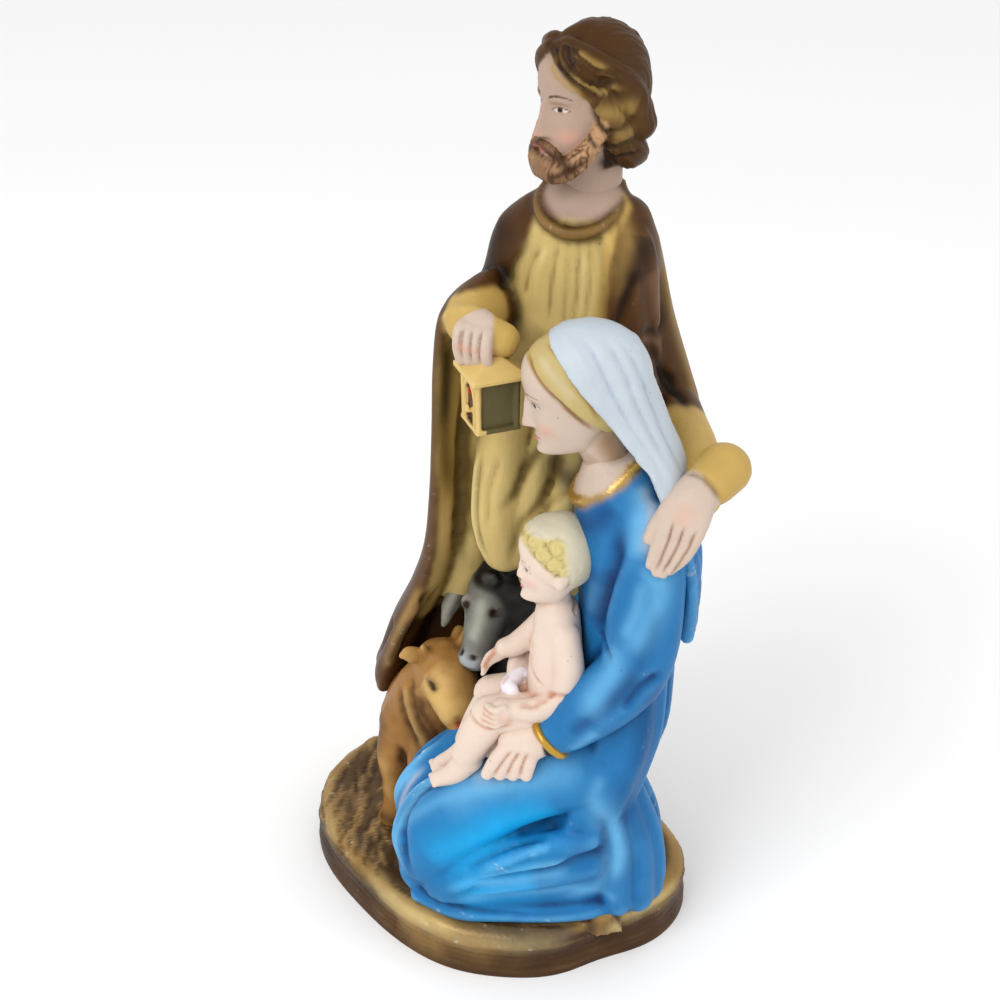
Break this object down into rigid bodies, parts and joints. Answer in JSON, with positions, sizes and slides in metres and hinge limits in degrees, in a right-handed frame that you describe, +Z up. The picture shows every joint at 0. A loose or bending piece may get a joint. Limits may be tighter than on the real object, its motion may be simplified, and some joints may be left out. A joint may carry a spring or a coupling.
{
  "type": "nativity figurine",
  "caption": "Painted plaster nativity figurine: a standing bearded man with a lantern, a kneeling woman with a child on her lap, an ox and a donkey, on an oval base.",
  "frame": {"origin": "middle of the flat underside of the base", "axes": "+Z up, -Y towards the front of the group, +X to the onlooker's right"},
  "size_m": [0.1531, 0.107, 0.3028],
  "materials": {
    "painted_plaster": "satin airbrushed paint on cast plaster"
  },
  "bodies": {
    "root": {"holy_family_cast": "painted_plaster"}
  },
  "joints": []
}
